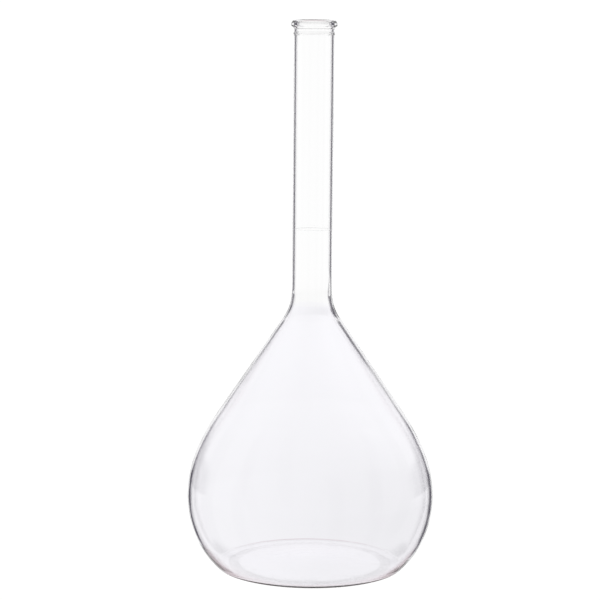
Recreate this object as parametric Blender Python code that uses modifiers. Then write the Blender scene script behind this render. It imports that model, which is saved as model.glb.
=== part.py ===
"""A one-litre volumetric flask with a beaded, stopperless mouth. Metres, +Z up.

The flask stands on its foot ring at z = 0 and its axis is the Z axis. It is a glass vessel welded in the
flame from three pieces, which are split here at their welds: the blown bulb, the drawn neck tube and the
mouth rim. The graduation ring is a line fired onto the neck. Every piece is a half-section turned about Z.
"""

import math

import bpy

# Overall sizes, in metres.
TOTAL_HEIGHT = 0.2853
NECK_OUTER_RADIUS = 0.0104
NECK_BORE_RADIUS = 0.0093
NECK_WALL = NECK_OUTER_RADIUS - NECK_BORE_RADIUS
BULB_WALL = 0.00165
FOOT_WALL = 0.0019

# The bulb's outer side is a run of tangent arcs from the foot upwards. Each one is its radius, the heading
# in degrees at its end, where 0 is straight outwards, 90 is straight up and more leans inwards, and the
# thickness that the wall has reached there.
FOOT_EDGE_ARC = (0.0221, 14.0, FOOT_WALL)
FOOT_CORNER_ARC = (0.0034, 44.0, FOOT_WALL)
LOWER_SIDE_ARC = (0.0476, 64.0, BULB_WALL)
LOWER_BELLY_ARC = (0.0523, 90.0, BULB_WALL)
UPPER_BELLY_ARC = (0.0628, 112.0, BULB_WALL)
FLANK_ARC = (0.1060, 124.2, BULB_WALL)
BODY_ARCS = (
    FOOT_EDGE_ARC,
    FOOT_CORNER_ARC,
    LOWER_SIDE_ARC,
    LOWER_BELLY_ARC,
    UPPER_BELLY_ARC,
    FLANK_ARC,
)
SHOULDER_FILLET_RADIUS = 0.0261

# The foot: a flat ring that the flask rests on, round a base that is pushed up in the middle.
FOOT_RADIUS = 0.0425
FOOT_RING_WIDTH = 0.0027
PUNT_HEIGHT = 0.0030
BASE_CENTRE_WALL = 0.0021

# The mouth: a bead that is rounded above, widest part way down and tapered below, inside and outside.
BEAD_OUTER_RADIUS = 0.01195
BEAD_INNER_RADIUS = 0.0087
BEAD_CREST_RADIUS = 0.0102
BEAD_CROWN_HEIGHT = 0.00245
BEAD_TAPER_HEIGHT = 0.0017
BEAD_LOWER_TURN = 50.0

# The welds: one low in the shoulder fillet, and a small ridge below the bead.
SHOULDER_WELD_HEIGHT = 0.1388
RIDGE_HEIGHT = 0.2786
RIDGE_HALF_LENGTH = 0.0009
RIDGE_OUTER_RISE = 0.00032
RIDGE_INNER_RISE = 0.0001
WELD_GAP = 0.0003

# The graduation ring, at the height where the flask holds its nominal volume.
RING_HEIGHT = 0.1782
RING_LINE_WIDTH = 0.0005
RING_THICKNESS = 0.00025
RING_CLEARANCE = 0.0003

# Fineness of the turned shapes.
TURN_STEPS = 64
DEGREES_PER_CHORD = 8.0
CURVE_STEPS = 5

UP = 90.0


def walk_arc(points, radius, end_heading, end_wall):
    """Goes on from the last point along an arc, as the wall changes evenly in thickness.

    A point is its radius, height, heading and wall. A negative radius turns clockwise.
    """
    start_r, start_z, heading, wall = points[-1]
    steps = max(2, math.ceil(abs(end_heading - heading) / DEGREES_PER_CHORD))
    start = math.radians(heading)
    for step in range(1, steps + 1):
        part = step / steps
        here_heading = heading + (end_heading - heading) * part
        here = math.radians(here_heading)
        r = start_r + radius * (math.sin(here) - math.sin(start))
        z = start_z + radius * (math.cos(start) - math.cos(here))
        points.append((r, z, here_heading, wall + (end_wall - wall) * part))


def wall_course():
    """The wall's outer side from the foot to the top of the neck, with its heading and its thickness."""
    points = [(FOOT_RADIUS, 0.0, 0.0, FOOT_WALL)]
    for radius, end_heading, end_wall in BODY_ARCS:
        walk_arc(points, radius, end_heading, end_wall)
    cone_r, cone_z, heading, wall = points[-1]
    lean = math.radians(heading - UP)
    fillet_start_radius = NECK_OUTER_RADIUS + SHOULDER_FILLET_RADIUS * (1.0 - math.cos(lean))
    fillet_start_height = cone_z + (cone_r - fillet_start_radius) / math.tan(lean)
    points.append((fillet_start_radius, fillet_start_height, heading, wall))
    walk_arc(points, -SHOULDER_FILLET_RADIUS, UP, NECK_WALL)
    points.append((NECK_OUTER_RADIUS, TOTAL_HEIGHT, UP, NECK_WALL))
    return points


def wall_sides(course):
    """The outer and the inner outline of the wall."""
    outer = []
    inner = []
    for r, z, heading, wall in course:
        turn = math.radians(heading)
        outer.append((r, z))
        inner.append((r - wall * math.sin(turn), z + wall * math.cos(turn)))
    return outer, inner


def between(points, low, high):
    """The stretch of a rising outline between two heights, cut exactly at both."""
    stretch = []
    for (r0, z0), (r1, z1) in zip(points, points[1:]):
        if z1 <= low or z0 >= high:
            continue
        for z in (max(z0, low), min(z1, high)):
            r = r0 + (r1 - r0) * (z - z0) / (z1 - z0)
            if not stretch or stretch[-1][1] != z:
                stretch.append((r, z))
    return stretch


def swell(start, end, rise, lift=0.0):
    """A smooth S-shaped run of points between two radii, lift metres up, rising at the end's side."""
    points = []
    for step in range(CURVE_STEPS + 1):
        part = step / CURVE_STEPS
        height = rise * (1.0 - math.cos(math.pi * part)) / 2.0
        points.append((start + (end - start) * part, lift + height))
    return points


def elliptical_arc(centre_r, centre_z, half_width, half_height, start, end):
    """Points of an elliptical arc, with its angles in degrees from straight outwards."""
    points = []
    for step in range(CURVE_STEPS + 1):
        angle = math.radians(start + (end - start) * step / CURVE_STEPS)
        r = centre_r + half_width * math.cos(angle)
        z = centre_z + half_height * math.sin(angle)
        points.append((r, z))
    return points


def ridge(tube_radius, rise):
    """The weld ridge on one side of the collar, from its lower end to its upper end."""
    points = []
    for step in range(CURVE_STEPS + 1):
        part = step / CURVE_STEPS
        r = tube_radius + rise * (1.0 - math.cos(2.0 * math.pi * part)) / 2.0
        z = RIDGE_HEIGHT + RIDGE_HALF_LENGTH * (2.0 * part - 1.0)
        points.append((r, z))
    return points


def make_material(name, colour, roughness, transmission):
    material = bpy.data.materials.new(name)
    material.use_nodes = True
    shader = material.node_tree.nodes["Principled BSDF"]
    shader.inputs["Base Color"].default_value = (*colour, 1.0)
    shader.inputs["Roughness"].default_value = roughness
    shader.inputs["Metallic"].default_value = 0.0
    shader.inputs["IOR"].default_value = 1.47
    shader.inputs["Transmission Weight"].default_value = transmission
    return material


def turned_object(name, profile, closed, material, collection):
    """Turns a half-section about Z. The profile climbs its inner side and comes down its outer side."""
    vertices = [(r, 0.0, z) for r, z in profile]
    edges = [(i, i + 1) for i in range(len(profile) - 1)]
    if closed:
        edges.append((len(profile) - 1, 0))
    mesh = bpy.data.meshes.new(name)
    mesh.from_pydata(vertices, edges, [])
    mesh.materials.append(material)
    turned = bpy.data.objects.new(name, mesh)
    collection.objects.link(turned)
    screw = turned.modifiers.new("Turn", "SCREW")
    screw.axis = "Z"
    screw.steps = TURN_STEPS
    screw.render_steps = TURN_STEPS
    screw.use_merge_vertices = True
    screw.merge_threshold = 0.00001
    screw.use_smooth_shade = True
    return turned


def make_bulb(outer, inner, collection):
    """The blown body: a wall that is thicker towards its pushed-up base, open at the shoulder weld."""
    top = SHOULDER_WELD_HEIGHT - WELD_GAP / 2.0
    floor_rise = PUNT_HEIGHT + BASE_CENTRE_WALL - FOOT_WALL
    inside_floor = swell(FOOT_RADIUS, 0.0, floor_rise, lift=FOOT_WALL)
    inside_floor.reverse()
    inside_wall = between(inner, 0.0, top)
    outside_wall = between(outer, 0.0, top)
    outside_wall.reverse()
    outside_floor = swell(FOOT_RADIUS - FOOT_RING_WIDTH, 0.0, PUNT_HEIGHT)
    profile = inside_floor + inside_wall[1:] + outside_wall + outside_floor
    material = make_material("bulb_glass", (0.94, 0.94, 0.96), 0.03, 1.0)
    return turned_object("bulb", profile, False, material, collection)


def make_neck_tube(outer, inner, collection):
    """The drawn tube, flared at its foot into the shoulder fillet."""
    bottom = SHOULDER_WELD_HEIGHT + WELD_GAP / 2.0
    top = RIDGE_HEIGHT - RIDGE_HALF_LENGTH - WELD_GAP
    inside = between(inner, bottom, top)
    outside = between(outer, bottom, top)
    outside.reverse()
    material = make_material("neck_glass", (0.95, 0.95, 0.97), 0.02, 1.0)
    return turned_object("neck_tube", inside + outside, True, material, collection)


def make_mouth_rim(collection):
    """The collar above the ridge weld, and the fire-polished bead round the mouth."""
    bead_height = TOTAL_HEIGHT - BEAD_CROWN_HEIGHT
    taper_foot = bead_height - BEAD_TAPER_HEIGHT
    crown_outer_width = BEAD_OUTER_RADIUS - BEAD_CREST_RADIUS
    crown_inner_width = BEAD_CREST_RADIUS - BEAD_INNER_RADIUS
    inside = ridge(NECK_BORE_RADIUS, -RIDGE_INNER_RISE)
    inside.append((NECK_BORE_RADIUS, taper_foot))
    inner_crown = elliptical_arc(
        BEAD_CREST_RADIUS, bead_height, crown_inner_width, BEAD_CROWN_HEIGHT, 180.0, 90.0
    )
    outer_crown = elliptical_arc(
        BEAD_CREST_RADIUS, bead_height, crown_outer_width, BEAD_CROWN_HEIGHT, 90.0, 0.0
    )
    underside = elliptical_arc(
        NECK_OUTER_RADIUS,
        bead_height,
        BEAD_OUTER_RADIUS - NECK_OUTER_RADIUS,
        BEAD_TAPER_HEIGHT,
        0.0,
        -BEAD_LOWER_TURN,
    )
    outside = ridge(NECK_OUTER_RADIUS, RIDGE_OUTER_RISE)
    outside.append((NECK_OUTER_RADIUS, taper_foot))
    outside.reverse()
    profile = inside + inner_crown + outer_crown[1:] + underside[1:] + outside
    material = make_material("mouth_glass", (0.93, 0.93, 0.96), 0.02, 1.0)
    return turned_object("mouth_rim", profile, True, material, collection)


def make_graduation_ring(collection):
    """The thin fired-on line round the neck."""
    inner_radius = NECK_OUTER_RADIUS + RING_CLEARANCE
    outer_radius = inner_radius + RING_THICKNESS
    bottom = RING_HEIGHT - RING_LINE_WIDTH / 2.0
    top = RING_HEIGHT + RING_LINE_WIDTH / 2.0
    profile = [
        (inner_radius, bottom),
        (inner_radius, top),
        (outer_radius, top),
        (outer_radius, bottom),
    ]
    material = make_material("ring_enamel", (0.80, 0.79, 0.82), 0.45, 0.0)
    return turned_object("graduation_ring", profile, True, material, collection)


def main():
    for leftover in list(bpy.data.objects):
        bpy.data.objects.remove(leftover)
    collection = bpy.data.collections.new("volumetric_flask")
    bpy.context.scene.collection.children.link(collection)
    outer, inner = wall_sides(wall_course())
    make_bulb(outer, inner, collection)
    make_neck_tube(outer, inner, collection)
    make_mouth_rim(collection)
    make_graduation_ring(collection)


main()
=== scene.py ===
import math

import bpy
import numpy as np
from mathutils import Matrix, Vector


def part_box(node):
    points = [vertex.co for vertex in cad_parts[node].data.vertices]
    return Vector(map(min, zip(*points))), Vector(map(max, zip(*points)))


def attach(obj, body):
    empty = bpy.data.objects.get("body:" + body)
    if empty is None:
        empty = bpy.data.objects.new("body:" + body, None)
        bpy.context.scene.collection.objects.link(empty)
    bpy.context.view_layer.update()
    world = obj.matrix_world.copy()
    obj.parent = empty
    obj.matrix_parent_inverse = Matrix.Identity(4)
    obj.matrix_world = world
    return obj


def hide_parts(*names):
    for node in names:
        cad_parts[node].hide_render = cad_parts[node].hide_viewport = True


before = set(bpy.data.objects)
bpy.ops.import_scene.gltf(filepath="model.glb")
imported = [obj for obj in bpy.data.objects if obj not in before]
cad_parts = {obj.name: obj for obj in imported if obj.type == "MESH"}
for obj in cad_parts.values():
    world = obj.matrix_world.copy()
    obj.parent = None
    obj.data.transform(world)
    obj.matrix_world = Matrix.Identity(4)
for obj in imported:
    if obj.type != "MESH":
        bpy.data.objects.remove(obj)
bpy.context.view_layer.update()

# The looks of the one-litre volumetric flask. Metres, +Z up.
#
# The flask's wall is built as real glass, with an outside and an inside surface, so that light bends
# through it as it does in the real thing. It comes in the same three pieces as the frame: bulb, neck and
# mouth. They meet at the two welds with no gap, and the faces they meet on are clear, because melted glass
# has no surface inside it. The studio is a white tent with black flags, which draw the glass's outline,
# together with painted shade that darkens the glass where its wall is seen edge on.

# ---- Sizes that the frame gives

NECK_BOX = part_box("neck_tube")
MOUTH_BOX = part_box("mouth_rim")
BULB_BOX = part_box("bulb")
LINE_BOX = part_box("graduation_ring")
TOTAL_HEIGHT = MOUTH_BOX[1].z
SHOULDER_WELD = (BULB_BOX[1].z + NECK_BOX[0].z) / 2.0
RIDGE_WELD = (NECK_BOX[1].z + MOUTH_BOX[0].z) / 2.0
LINE_HEIGHT = (LINE_BOX[0].z + LINE_BOX[1].z) / 2.0

# ---- Sizes of the glass, in metres

NECK_RADIUS = 0.0104
NECK_WALL = 0.0011
BULB_WALL = 0.00137
CONE_WALL = 0.0016
FOOT_WALL = 0.0017
NECK_BORE = NECK_RADIUS - NECK_WALL

# Tangent arcs of the bulb's outer side from the foot upwards: radius, heading in degrees at the end, where
# 0 is straight outwards, 90 is straight up and more leans inwards, and the wall's thickness at the end.
FOOT_EDGE = (0.0221, 14.0, FOOT_WALL)
FOOT_CORNER = (0.0034, 44.0, FOOT_WALL)
LOWER_SIDE = (0.0476, 64.0, BULB_WALL)
LOWER_BELLY = (0.0523, 90.0, BULB_WALL)
UPPER_BELLY = (0.0628, 112.0, BULB_WALL)
FLANK = (0.1060, 124.2, CONE_WALL)
BODY_ARCS = (FOOT_EDGE, FOOT_CORNER, LOWER_SIDE, LOWER_BELLY, UPPER_BELLY, FLANK)
SHOULDER_FILLET = 0.0261

# Blown glass is never quite even: on the +X side the wall is thicker, and most so just under the weld. Each
# of the two comes in and goes out over its own range of heights.
THICK_SIDE = 0.0003
THICK_SIDE_STARTS = (0.006, 0.020)
THICK_SIDE_ENDS = (0.140, 0.160)
WELD_SAG = 0.0003
WELD_SAG_STARTS = (0.104, 0.126)
WELD_SAG_ENDS = (0.131, 0.1385)

FOOT_RADIUS = 0.0425
FOOT_RING_WIDTH = 0.0027
PUNT_HEIGHT = 0.0030
BASE_CENTRE_WALL = 0.0021

# The mouth's half-section: a bead on a short collar. The bead is two cubic Bezier curves on each side, from
# the collar's top to the bead's widest or narrowest place, and from there to its crest. Each curve is given
# as its two handles and its end, in (radius, height).
COLLAR_TOP_OUTSIDE = 0.2809
COLLAR_TOP_INSIDE = 0.2806
BEAD_CREST = (0.01025, TOTAL_HEIGHT)
BEAD_OUTSIDE = 0.01195
BEAD_INSIDE = 0.00875
BEAD_INSIDE_CURVES = (
    ((NECK_BORE, 0.2816), (BEAD_INSIDE, 0.2820), (BEAD_INSIDE, 0.2831)),
    ((BEAD_INSIDE, 0.2842), (0.00942, TOTAL_HEIGHT), BEAD_CREST),
)
BEAD_OUTSIDE_CURVES = (
    ((NECK_RADIUS, 0.2818), (BEAD_OUTSIDE, 0.2820), (BEAD_OUTSIDE, 0.28285)),
    ((BEAD_OUTSIDE, 0.28415), (0.01119, TOTAL_HEIGHT), BEAD_CREST),
)

RIDGE_HALF_LENGTH = 0.0009
RIDGE_HEIGHT = RIDGE_WELD + RIDGE_HALF_LENGTH
RIDGE_OUTER_RISE = 0.00032
RIDGE_INNER_RISE = 0.00010

LINE_WIDTH = 0.0003
LINE_THICKNESS = 0.00008
LINE_CLEARANCE = 0.00002

# ---- Fineness

AZIMUTH_STEPS = 192
DEGREES_PER_CHORD = 1.5
FILLET_DEGREES_PER_CHORD = 0.75
TUBE_STEP = 0.002
COLLAR_STEP = 0.0005
FLOOR_STEPS = 30
RIDGE_STEPS = 24
BEAD_STEPS = 16
SHARP_ANGLE = math.radians(40.0)


# ---- Outlines: lists of (radius, height), and for the wall's outer side also (heading, wall thickness)

def add_arc(points, radius, end_heading, end_wall, chord=DEGREES_PER_CHORD):
    """Goes on from the last point along an arc. A negative radius turns clockwise."""
    start_r, start_z, heading, wall = points[-1]
    start = math.radians(heading)
    steps = max(2, math.ceil(abs(end_heading - heading) / chord))
    for step in range(1, steps + 1):
        part = step / steps
        here_heading = heading + (end_heading - heading) * part
        here = math.radians(here_heading)
        r = start_r + radius * (math.sin(here) - math.sin(start))
        z = start_z + radius * (math.cos(start) - math.cos(here))
        points.append((r, z, here_heading, wall + (end_wall - wall) * part))


def add_line(points, r, z, spacing):
    """Goes on in a straight line to a point, cut into short steps."""
    start_r, start_z, *rest = points[-1]
    steps = max(1, math.ceil(math.hypot(r - start_r, z - start_z) / spacing))
    for step in range(1, steps + 1):
        part = step / steps
        points.append((start_r + (r - start_r) * part, start_z + (z - start_z) * part, *rest))


def add_bezier(points, first, second, end):
    """Goes on from the last point along a cubic Bezier curve."""
    start = points[-1]
    for step in range(1, BEAD_STEPS + 1):
        t = step / BEAD_STEPS
        weights = ((1 - t) ** 3, 3 * t * (1 - t) ** 2, 3 * t * t * (1 - t), t ** 3)
        corners = (start, first, second, end)
        r = sum(w * corner[0] for w, corner in zip(weights, corners))
        z = sum(w * corner[1] for w, corner in zip(weights, corners))
        points.append((r, z))


def outer_side():
    """The wall's outer side from the foot to below the ridge."""
    points = [(FOOT_RADIUS, 0.0, 0.0, FOOT_WALL)]
    for radius, end_heading, end_wall in BODY_ARCS:
        add_arc(points, radius, end_heading, end_wall)
    cone_r, cone_z, heading, wall = points[-1]
    lean = math.radians(heading - 90.0)
    fillet_foot = NECK_RADIUS + SHOULDER_FILLET * (1.0 - math.cos(lean))
    add_line(points, fillet_foot, cone_z + (cone_r - fillet_foot) / math.tan(lean), TUBE_STEP)
    add_arc(points, -SHOULDER_FILLET, 90.0, NECK_WALL, FILLET_DEGREES_PER_CHORD)
    add_line(points, NECK_RADIUS, RIDGE_HEIGHT - RIDGE_HALF_LENGTH, TUBE_STEP)
    return points


def inner_side(outside):
    """The same run of points, each moved into the flask by the wall's thickness there."""
    points = []
    for r, z, heading, wall in outside:
        turn = math.radians(heading)
        points.append((r - wall * math.sin(turn), z + wall * math.cos(turn)))
    return points


def smooth(value, low, high):
    """0 below low, 1 above high, and an S-curve between."""
    part = min(max((value - low) / (high - low), 0.0), 1.0)
    return part * part * (3.0 - 2.0 * part)


def with_thick_side(points):
    """Gives each point of the inner side how much thicker the blown wall is there on the +X side."""
    thicker = []
    for r, z in points:
        body = smooth(z, *THICK_SIDE_STARTS) * (1.0 - smooth(z, *THICK_SIDE_ENDS))
        weld = smooth(z, *WELD_SAG_STARTS) * (1.0 - smooth(z, *WELD_SAG_ENDS))
        thicker.append((r, z, THICK_SIDE * body + WELD_SAG * weld))
    return thicker


def cut_at(points, height):
    """Splits a rising outline at a height. The new point there ends the lower part and starts the upper."""
    for i, ((r0, z0), (r1, z1)) in enumerate(zip(points, points[1:])):
        if z0 < height <= z1:
            r = r0 + (r1 - r0) * (height - z0) / (z1 - z0)
            upper = [p for p in points[i + 1:] if p[1] > height]
            return points[:i + 1] + [(r, height)], [(r, height)] + upper
    raise ValueError("the outline does not reach that height")


def swell(start, end, rise, lift):
    """A smooth S-shaped run of points between two radii, lift metres up, rising at the end's side."""
    points = []
    for step in range(FLOOR_STEPS + 1):
        part = step / FLOOR_STEPS
        height = rise * (1.0 - math.cos(math.pi * part)) / 2.0
        points.append((start + (end - start) * part, lift + height))
    return points


def collar_outline(tube_radius, rise, top):
    """The short tube above the weld, with the weld's soft ridge at its foot."""
    points = []
    for step in range(RIDGE_STEPS + 1):
        part = step / RIDGE_STEPS
        r = tube_radius + rise * (1.0 - math.cos(2.0 * math.pi * part)) / 2.0
        points.append((r, RIDGE_HEIGHT + RIDGE_HALF_LENGTH * (2.0 * part - 1.0)))
    add_line(points, tube_radius, top, COLLAR_STEP)
    return points


# ---- Meshes

def turned_mesh(name, profile, seams, materials):
    """Turns a half-section about Z.

    A point is its radius and height, and for the wall's inner side also how much thicker the wall is at +X.
    A profile that ends on the axis closes there, and any other into a ring. seams holds the numbers of the
    segments that lie in a weld, whose faces take the second material.
    """
    open_ended = profile[0][0] > 0.0
    points = profile if open_ended else profile[1:-1]
    rings = np.array([(*point, 0.0)[:3] for point in points])
    ring_count = len(rings)
    angles = np.linspace(0.0, 2.0 * math.pi, AZIMUTH_STEPS, endpoint=False)
    r, z, lean = rings[:, 0][:, None], rings[:, 1][:, None], rings[:, 2][:, None]
    r = r - lean * (1.0 + np.cos(angles)) / 2.0
    co = np.stack([r * np.cos(angles), r * np.sin(angles), z + 0.0 * angles], axis=2).reshape(-1, 3)
    vertices = co.tolist()
    faces = []
    in_weld = []
    last = ring_count if open_ended else ring_count - 1
    for i in range(last):
        low, high = i * AZIMUTH_STEPS, (i + 1) % ring_count * AZIMUTH_STEPS
        for j in range(AZIMUTH_STEPS):
            k = (j + 1) % AZIMUTH_STEPS
            faces.append((low + j, high + j, high + k, low + k))
            in_weld.append(i in seams)
    if not open_ended:
        for end, ring in ((profile[0], 0), (profile[-1], ring_count - 1)):
            vertices.append((0.0, 0.0, end[1]))
            tip, base = len(vertices) - 1, ring * AZIMUTH_STEPS
            for j in range(AZIMUTH_STEPS):
                k = (j + 1) % AZIMUTH_STEPS
                corners = (base + j, base + k) if ring == 0 else (base + k, base + j)
                faces.append((tip, *corners))
                in_weld.append(False)
    mesh = bpy.data.meshes.new(name)
    mesh.from_pydata(vertices, [], faces)
    for material in materials:
        mesh.materials.append(material)
    mesh.polygons.foreach_set("material_index", [int(weld) for weld in in_weld])
    mesh.shade_smooth()
    mesh.set_sharp_from_angle(angle=SHARP_ANGLE)
    return mesh


def make_piece(name, mesh, slot, *stands_for):
    piece = bpy.data.objects.new(name, mesh)
    bpy.context.scene.collection.objects.link(piece)
    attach(piece, "root")
    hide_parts(*stands_for)
    return piece


# ---- Node helpers

class Nodes:
    """Short ways to add and join the nodes of one node tree."""

    def __init__(self, tree):
        self.tree = tree

    def add(self, kind, **settings):
        node = self.tree.nodes.new(kind)
        for name, value in settings.items():
            setattr(node, name, value)
        return node

    def feed(self, socket, value):
        """Links an output to a socket, or sets the socket to a plain value."""
        if isinstance(value, bpy.types.NodeSocket):
            self.tree.links.new(value, socket)
        else:
            socket.default_value = value

    def math(self, operation, first, second=0.0):
        node = self.add("ShaderNodeMath", operation=operation)
        self.feed(node.inputs[0], first)
        self.feed(node.inputs[1], second)
        return node.outputs[0]

    def ramp(self, value, low, high, at_low, at_high):
        """Goes smoothly from at_low to at_high while value goes from low to high."""
        node = self.add("ShaderNodeMapRange", interpolation_type="SMOOTHSTEP")
        for name, given in (
            ("Value", value),
            ("From Min", low),
            ("From Max", high),
            ("To Min", at_low),
            ("To Max", at_high),
        ):
            self.feed(node.inputs[name], given)
        return node.outputs["Result"]

    def product(self, first, *others):
        for other in others:
            first = self.math("MULTIPLY", first, other)
        return first

    def bump_between(self, value, low, high, edge):
        """1 while value is between low and high, 0 outside, with soft edges."""
        rising = self.ramp(value, low - edge, low + edge, 0.0, 1.0)
        falling = self.ramp(value, high - edge, high + edge, 1.0, 0.0)
        return self.product(rising, falling)

    def noise(self, place, scale, detail):
        node = self.add("ShaderNodeTexNoise")
        self.feed(node.inputs["Vector"], place)
        self.feed(node.inputs["Scale"], scale)
        self.feed(node.inputs["Detail"], detail)
        return node.outputs["Fac"]

    def mix(self, part, first, second):
        node = self.add("ShaderNodeMix", data_type="FLOAT")
        self.feed(node.inputs[0], part)
        self.feed(node.inputs[2], first)
        self.feed(node.inputs[3], second)
        return node.outputs[0]

    def mix_colour(self, part, first, second):
        node = self.add("ShaderNodeMix", data_type="RGBA")
        self.feed(node.inputs[0], part)
        self.feed(node.inputs[6], first)
        self.feed(node.inputs[7], second)
        return node.outputs[2]


# ---- Materials

IOR = 1.47

# Painted shade on the glass: its colour darkens towards the edge colour below where its wall is seen edge
# on. Where it starts and ends, as Layer Weight's Facing.
EDGE_SHADE_FROM = 0.45
EDGE_SHADE_TO = 0.95
EDGE_SHADE = (0.95, 0.93, 0.97, 1.0)
BULB_TINT = (0.985, 0.982, 1.0, 1.0)
CLEAR = (1.0, 1.0, 1.0, 1.0)

# Ripples: how many to the metre, what share of that along Z, and how high they are, in metres.
BLOWN_RIPPLE = (45.0, 0.7, 0.0001)
DRAWN_RIPPLE = (260.0, 0.03, 0.00002)
BEAD_RIPPLE = (220.0, 0.8, 0.000006)
RIPPLE_DETAIL = 2.0

# Where the foot ring is worn dull: heights in metres, patches to the metre, and the patches' noise levels.
WEAR_FULL_HEIGHT = 0.00001
WEAR_END_HEIGHT = 0.00005
WEAR_PATCH_SCALE = 900.0
WEAR_PATCH_DETAIL = 4.0
WEAR_PATCH_FROM = 0.3
WEAR_PATCH_TO = 0.7
WEAR_LEAST_ROUGHNESS = 0.11
WEAR_MOST_ROUGHNESS = 0.22

# The line's enamel: its colours, how much it covers, its patches to the metre, and its grain.
ENAMEL_WHITE = (0.93, 0.92, 0.94, 1.0)
ENAMEL_THIN = (0.84, 0.83, 0.87, 1.0)
ENAMEL_COVER = 0.16
ENAMEL_PATCH_SCALE = 350.0
ENAMEL_PATCH_DETAIL = 3.0
ENAMEL_PATCH_FROM = 0.35
ENAMEL_PATCH_TO = 0.7
ENAMEL_THICK_ROUGHNESS = 0.42
ENAMEL_THIN_ROUGHNESS = 0.6
ENAMEL_GRAIN_SCALE = 6000.0
ENAMEL_GRAIN_DETAIL = 2.0
ENAMEL_GRAIN_HEIGHT = 0.00001


def new_material(name):
    """A new material, its shader and a way to add nodes to it."""
    material = bpy.data.materials.new(name)
    material.use_nodes = True
    return material, material.node_tree.nodes["Principled BSDF"], Nodes(material.node_tree)


def make_glass(name, face_tint, edge_shade, ripple_scale, share_along_z, ripple_height):
    """Clear glass with a soft ripple from the flame, darkened by painted shade where the wall is seen edge
    on.

    ripple_scale is in ripples a metre. Along Z there is only a share of them, and a small share draws them
    out into the long lines of drawn tube. The foot ring is worn dull where the flask stands on it.
    """
    material, shader, nodes = new_material(name)
    shader.inputs["Transmission Weight"].default_value = 1.0
    shader.inputs["IOR"].default_value = IOR
    place = nodes.add("ShaderNodeTexCoord").outputs["Object"]
    # Painted shade: the base colour darkens where the wall is seen edge on, standing in for the glass's
    # dark outline.
    facing = nodes.add("ShaderNodeLayerWeight").outputs["Facing"]
    edge = nodes.ramp(facing, EDGE_SHADE_FROM, EDGE_SHADE_TO, 0.0, 1.0)
    nodes.feed(shader.inputs["Base Color"], nodes.mix_colour(edge, face_tint, edge_shade))
    height = nodes.add("ShaderNodeSeparateXYZ")
    nodes.feed(height.inputs[0], place)
    worn = nodes.ramp(height.outputs[2], WEAR_FULL_HEIGHT, WEAR_END_HEIGHT, 1.0, 0.0)
    patches = nodes.ramp(
        nodes.noise(place, WEAR_PATCH_SCALE, WEAR_PATCH_DETAIL),
        WEAR_PATCH_FROM,
        WEAR_PATCH_TO,
        WEAR_LEAST_ROUGHNESS,
        WEAR_MOST_ROUGHNESS,
    )
    nodes.feed(shader.inputs["Roughness"], nodes.product(worn, patches))
    stretched = nodes.add("ShaderNodeMapping")
    stretched.inputs["Scale"].default_value = (1.0, 1.0, share_along_z)
    nodes.feed(stretched.inputs["Vector"], place)
    bump = nodes.add("ShaderNodeBump")
    bump.inputs["Distance"].default_value = ripple_height
    nodes.feed(bump.inputs["Height"], nodes.noise(stretched.outputs[0], ripple_scale, RIPPLE_DETAIL))
    nodes.feed(shader.inputs["Normal"], bump.outputs[0])
    return material


def make_clear_weld():
    """The inside of a weld, where there is no surface to see."""
    material, shader, _ = new_material("clear_weld")
    shader.inputs["Alpha"].default_value = 0.0
    shader.inputs["IOR"].default_value = 1.0
    return material


def make_line_enamel():
    """Thin, see-through white enamel fired onto the glass: greyer in places, with a satin, grainy face."""
    material, shader, nodes = new_material("line_enamel")
    place = nodes.add("ShaderNodeTexCoord").outputs["Object"]
    shader.inputs["Alpha"].default_value = ENAMEL_COVER
    patches = nodes.noise(place, ENAMEL_PATCH_SCALE, ENAMEL_PATCH_DETAIL)
    thin = nodes.ramp(patches, ENAMEL_PATCH_FROM, ENAMEL_PATCH_TO, 0.0, 1.0)
    nodes.feed(shader.inputs["Base Color"], nodes.mix_colour(thin, ENAMEL_WHITE, ENAMEL_THIN))
    roughness = nodes.ramp(thin, 0.0, 1.0, ENAMEL_THICK_ROUGHNESS, ENAMEL_THIN_ROUGHNESS)
    nodes.feed(shader.inputs["Roughness"], roughness)
    bump = nodes.add("ShaderNodeBump")
    bump.inputs["Distance"].default_value = ENAMEL_GRAIN_HEIGHT
    grain = nodes.noise(place, ENAMEL_GRAIN_SCALE, ENAMEL_GRAIN_DETAIL)
    nodes.feed(bump.inputs["Height"], grain)
    nodes.feed(shader.inputs["Normal"], bump.outputs[0])
    return material


# ---- The flask

outer_wall = outer_side()
bulb_outside, neck_outside = cut_at([point[:2] for point in outer_wall], SHOULDER_WELD)
bulb_inside, neck_inside = map(with_thick_side, cut_at(inner_side(outer_wall), SHOULDER_WELD))
clear_weld = make_clear_weld()


def make_bulb():
    """The blown bulb, open at the shoulder weld, on its pushed-up base."""
    floor_rise = PUNT_HEIGHT + BASE_CENTRE_WALL - FOOT_WALL
    inside_floor = swell(FOOT_RADIUS, 0.0, floor_rise, FOOT_WALL)[::-1]
    outside_floor = swell(FOOT_RADIUS - FOOT_RING_WIDTH, 0.0, PUNT_HEIGHT, 0.0)
    climb = inside_floor + bulb_inside[1:]
    profile = climb + bulb_outside[::-1] + outside_floor
    weld = len(climb) - 2
    glass = make_glass("bulb_glass", BULB_TINT, EDGE_SHADE, *BLOWN_RIPPLE)
    mesh = turned_mesh("flask_bulb", profile, {weld}, (glass, clear_weld))
    return make_piece("flask_bulb", mesh, "clear_glass", "bulb")


def make_neck():
    """The drawn neck tube with its flared foot."""
    profile = neck_inside + neck_outside[::-1]
    welds = {len(neck_inside) - 1, len(profile) - 1}
    glass = make_glass("neck_glass", CLEAR, EDGE_SHADE, *DRAWN_RIPPLE)
    mesh = turned_mesh("flask_neck", profile, welds, (glass, clear_weld))
    return make_piece("flask_neck", mesh, "clear_glass", "neck_tube")


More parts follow.
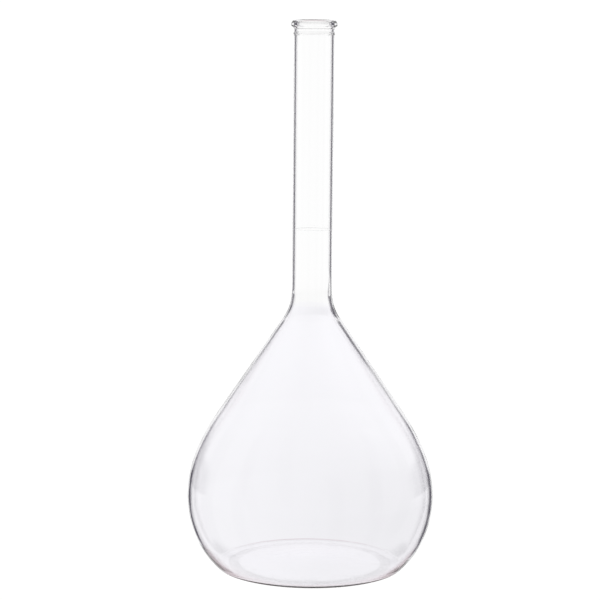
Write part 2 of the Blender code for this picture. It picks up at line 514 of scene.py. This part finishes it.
def make_mouth():
    """The collar above the ridge weld and the fire-polished bead."""
    inside = collar_outline(NECK_BORE, -RIDGE_INNER_RISE, COLLAR_TOP_INSIDE)
    for curve in BEAD_INSIDE_CURVES:
        add_bezier(inside, *curve)
    outside = collar_outline(NECK_RADIUS, RIDGE_OUTER_RISE, COLLAR_TOP_OUTSIDE)
    for curve in BEAD_OUTSIDE_CURVES:
        add_bezier(outside, *curve)
    profile = inside + outside[::-1][1:]
    glass = make_glass("mouth_glass", CLEAR, EDGE_SHADE, *BEAD_RIPPLE)
    mesh = turned_mesh("flask_mouth", profile, {len(profile) - 1}, (glass, clear_weld))
    return make_piece("flask_mouth", mesh, "clear_glass", "mouth_rim")


def make_line():
    """The graduation line, a hair off the neck."""
    near, far = NECK_RADIUS + LINE_CLEARANCE, NECK_RADIUS + LINE_CLEARANCE + LINE_THICKNESS
    bottom, top = LINE_HEIGHT - LINE_WIDTH / 2.0, LINE_HEIGHT + LINE_WIDTH / 2.0
    profile = [(near, bottom), (near, top), (far, top), (far, bottom)]
    mesh = turned_mesh("graduation_line", profile, set(), (make_line_enamel(),))
    return make_piece("graduation_line", mesh, "ring_enamel", "graduation_ring")


make_bulb()
make_neck()
make_mouth()
make_line()

# ---- The studio

FLOOR_SIZE = 8.0
FLOOR_DROP = 0.0002
WHITE = 1.05

# The light tent, in degrees of azimuth from +Y, with +X on the positive side, and of elevation above the
# horizon. Its white walls are a little darker below the horizon, low on the right and on the camera's side.
HORIZON_LEVEL = 1.0
TABLE_LEVEL = 0.93
TABLE_FROM = -5.0
TABLE_TO = -14.0
RIGHT_LEVEL = 0.93
RIGHT_SIDE_FROM = -3.0
RIGHT_SIDE_TO = 5.0
RIGHT_HEIGHT_FROM = -13.0
RIGHT_HEIGHT_TO = -8.0
FRONT_LEVEL = 0.9
FRONT_FROM = 90.0
FRONT_TO = 150.0

FLAG_COLOUR = (0.082, 0.074, 0.1, 1.0)

# The flags beside the backdrop draw the outline. They stand further out above REGIME_HIGH than below
# REGIME_LOW. There they are also wider, for rays that have passed between 1 and 3 glass surfaces.
FLAG_BOTTOM = -30.0
FLAG_TOP = 7.0
FLAG_TOP_EDGE = 4.0
FLAG_EDGE = 2.0
LOW_FLAG_FROM = 19.0
LOW_FLAG_TO = 22.0
LOW_FLAG_FADE_TO = 40.0
HIGH_FLAG_FROM = 23.0
HIGH_FLAG_TO = 58.0
HIGH_FLAG_FADE_TO = 75.0
REGIME_LOW = -9.0
REGIME_HIGH = -5.5
WIDE_FLAG_MORE_THAN = 0.5
WIDE_FLAG_LESS_THAN = 3.5

# Slanted flags above them draw the lines down the cone. They start where the elevation less CONE_FLAG_LEAN
# times the azimuth goes from CONE_FLAG_LOW to CONE_FLAG_HIGH.
CONE_FLAG_LEAN = 0.67
CONE_FLAG_LOW = -13.0
CONE_FLAG_HIGH = -7.0
CONE_FLAG_FROM = 21.0
CONE_FLAG_TO = 32.0
CONE_FLAG_FADE_TO = 45.0
CONE_FLAG_TOP = 38.0
CONE_FLAG_TOP_END = 46.0

# A pale pink flag on the ground, for the foot.
GROUND_FLAG_COLOUR = (0.72, 0.64, 0.66, 1.0)
GROUND_FLAG_BOTTOM = -60.0
GROUND_FLAG_TOP = -26.0
GROUND_FLAG_EDGE = 4.0
GROUND_FLAG_SIDE = 30.0
GROUND_FLAG_SIDE_END = 37.0

# Pairs of flags that draw the outline as it is seen from the sides, round the azimuths looked towards.
SIDE_VIEWS = (-45.0, -90.0, 135.0)
SIDE_FLAG_OFFSET = 20.0
SIDE_FLAG_HALF_WIDTH = 7.0
SIDE_FLAG_EDGE = 2.0
SIDE_FLAG_BOTTOM = -50.0
SIDE_FLAG_TOP = 30.0
SIDE_FLAG_END_EDGE = 10.0
SIDE_FLAG_NONE_BEFORE = 48.0
SIDE_FLAG_FULL_FROM = 52.0
MIRRORED_SHARE = 0.15

# Millimetres for the lens and sensor, metres for the place, and degrees.
CAMERA_LENS = 108.0
CAMERA_SENSOR = 36.0
CAMERA_PLACE = (0.0, -0.9315, 0.2440)
CAMERA_DIP = 6.3
CAMERA_YAW = 0.3785
CAMERA_ROLL = 0.475


def make_floor():
    """A white floor without a shadow. The glass sees the tent below it instead."""
    bpy.ops.mesh.primitive_plane_add(size=FLOOR_SIZE, location=(0.0, 0.0, -FLOOR_DROP))
    floor = bpy.context.object
    floor.name = "studio_floor"
    material, shader, _ = new_material("studio_white")
    shader.inputs["Base Color"].default_value = (0.0, 0.0, 0.0, 1.0)
    shader.inputs["Specular IOR Level"].default_value = 0.0
    shader.inputs["Emission Color"].default_value = (1.0, 1.0, 1.0, 1.0)
    shader.inputs["Emission Strength"].default_value = WHITE
    floor.data.materials.append(material)
    floor.visible_transmission = False
    floor.visible_glossy = False
    floor.visible_diffuse = False
    floor.visible_shadow = False


def tent_walls(nodes, signed, azimuth, elevation):
    """How bright the tent's white walls are."""
    level = nodes.ramp(elevation, TABLE_TO, TABLE_FROM, TABLE_LEVEL, HORIZON_LEVEL)
    low_part = nodes.ramp(elevation, RIGHT_HEIGHT_FROM, RIGHT_HEIGHT_TO, 1.0, 0.0)
    right_part = nodes.ramp(signed, RIGHT_SIDE_FROM, RIGHT_SIDE_TO, 0.0, 1.0)
    right = nodes.mix(nodes.product(low_part, right_part), 1.0, RIGHT_LEVEL)
    front = nodes.ramp(azimuth, FRONT_FROM, FRONT_TO, 1.0, FRONT_LEVEL)
    return nodes.product(level, right, front)


def backdrop_flags(nodes, azimuth, elevation, passed):
    """The black flags on both sides of the backdrop."""
    height = nodes.ramp(elevation, REGIME_LOW, REGIME_HIGH, 0.0, 1.0)
    some = nodes.math("GREATER_THAN", passed, WIDE_FLAG_MORE_THAN)
    few = nodes.math("LESS_THAN", passed, WIDE_FLAG_LESS_THAN)
    widening = nodes.product(height, nodes.product(some, few))
    start = nodes.mix(height, LOW_FLAG_FROM, HIGH_FLAG_FROM)
    end = nodes.mix(widening, LOW_FLAG_TO, HIGH_FLAG_TO)
    fade_end = nodes.mix(widening, LOW_FLAG_FADE_TO, HIGH_FLAG_FADE_TO)
    past_start = nodes.math("SUBTRACT", azimuth, start)
    near_edge = nodes.ramp(past_start, -FLAG_EDGE, FLAG_EDGE, 0.0, 1.0)
    far_edge = nodes.ramp(azimuth, end, fade_end, 1.0, 0.0)
    ends = nodes.bump_between(elevation, FLAG_BOTTOM, FLAG_TOP, FLAG_TOP_EDGE)
    return nodes.product(near_edge, far_edge, ends)


def cone_flags(nodes, azimuth, elevation, passed):
    """The slanted black flags above them, for rays that have passed through glass."""
    slant = nodes.math("SUBTRACT", elevation, nodes.math("MULTIPLY", azimuth, CONE_FLAG_LEAN))
    lower_edge = nodes.ramp(slant, CONE_FLAG_LOW, CONE_FLAG_HIGH, 0.0, 1.0)
    near_edge = nodes.ramp(azimuth, CONE_FLAG_FROM - FLAG_EDGE, CONE_FLAG_FROM + FLAG_EDGE, 0.0, 1.0)
    far_edge = nodes.ramp(azimuth, CONE_FLAG_TO, CONE_FLAG_FADE_TO, 1.0, 0.0)
    top_edge = nodes.ramp(elevation, CONE_FLAG_TOP, CONE_FLAG_TOP_END, 1.0, 0.0)
    through = nodes.math("MINIMUM", passed, 1.0)
    return nodes.product(lower_edge, near_edge, far_edge, top_edge, through)


def ground_flag(nodes, azimuth, elevation):
    """The pale flag on the ground, behind the flask."""
    band = nodes.bump_between(elevation, GROUND_FLAG_BOTTOM, GROUND_FLAG_TOP, GROUND_FLAG_EDGE)
    return nodes.product(band, nodes.ramp(azimuth, GROUND_FLAG_SIDE, GROUND_FLAG_SIDE_END, 1.0, 0.0))


def side_flags(nodes, signed, azimuth, elevation, mirrored):
    """The black flags for the sides, seen through the glass and hardly in its reflections."""
    flags = 0.0
    for centre in SIDE_VIEWS:
        for sign in (-1.0, 1.0):
            at = (centre + sign * SIDE_FLAG_OFFSET + 180.0) % 360.0 - 180.0
            left, right = at - SIDE_FLAG_HALF_WIDTH, at + SIDE_FLAG_HALF_WIDTH
            one = nodes.bump_between(signed, left, right, SIDE_FLAG_EDGE)
            flags = nodes.math("MAXIMUM", flags, one)
    beside = nodes.ramp(azimuth, SIDE_FLAG_NONE_BEFORE, SIDE_FLAG_FULL_FROM, 0.0, 1.0)
    share = nodes.mix(nodes.math("MINIMUM", mirrored, 1.0), 1.0, MIRRORED_SHARE)
    ends = nodes.bump_between(elevation, SIDE_FLAG_BOTTOM, SIDE_FLAG_TOP, SIDE_FLAG_END_EDGE)
    return nodes.product(flags, beside, share, ends)


def make_tent():
    """White light from all round, seen by the glass, with black flags between the bright walls."""
    world = bpy.data.worlds.new("light_tent")
    bpy.context.scene.world = world
    world.use_nodes = True
    world.node_tree.nodes.clear()
    nodes = Nodes(world.node_tree)
    split = nodes.add("ShaderNodeSeparateXYZ")
    nodes.feed(split.inputs[0], nodes.add("ShaderNodeTexCoord").outputs["Generated"])
    x, y, z = split.outputs
    degrees = 180.0 / math.pi
    signed = nodes.math("MULTIPLY", nodes.math("ARCTAN2", x, y), degrees)
    azimuth = nodes.math("ABSOLUTE", signed)
    across = nodes.math("SQRT", nodes.math("ADD", nodes.product(x, x), nodes.product(y, y)))
    elevation = nodes.math("MULTIPLY", nodes.math("ARCTAN2", z, across), degrees)
    ray = nodes.add("ShaderNodeLightPath").outputs
    passed, mirrored = ray["Transmission Depth"], ray["Glossy Depth"]
    backdrop = backdrop_flags(nodes, azimuth, elevation, passed)
    cone = cone_flags(nodes, azimuth, elevation, passed)
    side = side_flags(nodes, signed, azimuth, elevation, mirrored)
    flags = nodes.math("MAXIMUM", nodes.math("MAXIMUM", backdrop, cone), side)
    colour = nodes.mix_colour(flags, tent_walls(nodes, signed, azimuth, elevation), FLAG_COLOUR)
    colour = nodes.mix_colour(ground_flag(nodes, azimuth, elevation), colour, GROUND_FLAG_COLOUR)
    for_glass = nodes.add("ShaderNodeBackground")
    nodes.feed(for_glass.inputs["Color"], colour)
    behind = nodes.add("ShaderNodeBackground")
    behind.inputs["Color"].default_value = (1.0, 1.0, 1.0, 1.0)
    behind.inputs["Strength"].default_value = WHITE
    choose = nodes.add("ShaderNodeMixShader")
    nodes.feed(choose.inputs[0], ray["Is Camera Ray"])
    nodes.feed(choose.inputs[1], for_glass.outputs[0])
    nodes.feed(choose.inputs[2], behind.outputs[0])
    nodes.feed(nodes.add("ShaderNodeOutputWorld").inputs[0], choose.outputs[0])


def make_camera():
    """The camera in front of the flask, looking a little down on it."""
    data = bpy.data.cameras.new("camera")
    data.lens = CAMERA_LENS
    data.sensor_width = CAMERA_SENSOR
    camera = bpy.data.objects.new("camera", data)
    bpy.context.scene.collection.objects.link(camera)
    turn = Matrix.Rotation(math.radians(CAMERA_YAW), 4, "Z")
    dip = Matrix.Rotation(math.radians(90.0 - CAMERA_DIP), 4, "X")
    roll = Matrix.Rotation(math.radians(CAMERA_ROLL), 4, "Z")
    camera.matrix_world = Matrix.Translation(CAMERA_PLACE) @ turn @ dip @ roll
    bpy.context.scene.camera = camera


make_floor()
make_tent()
make_camera()
bpy.context.scene.view_settings.view_transform = "Standard"
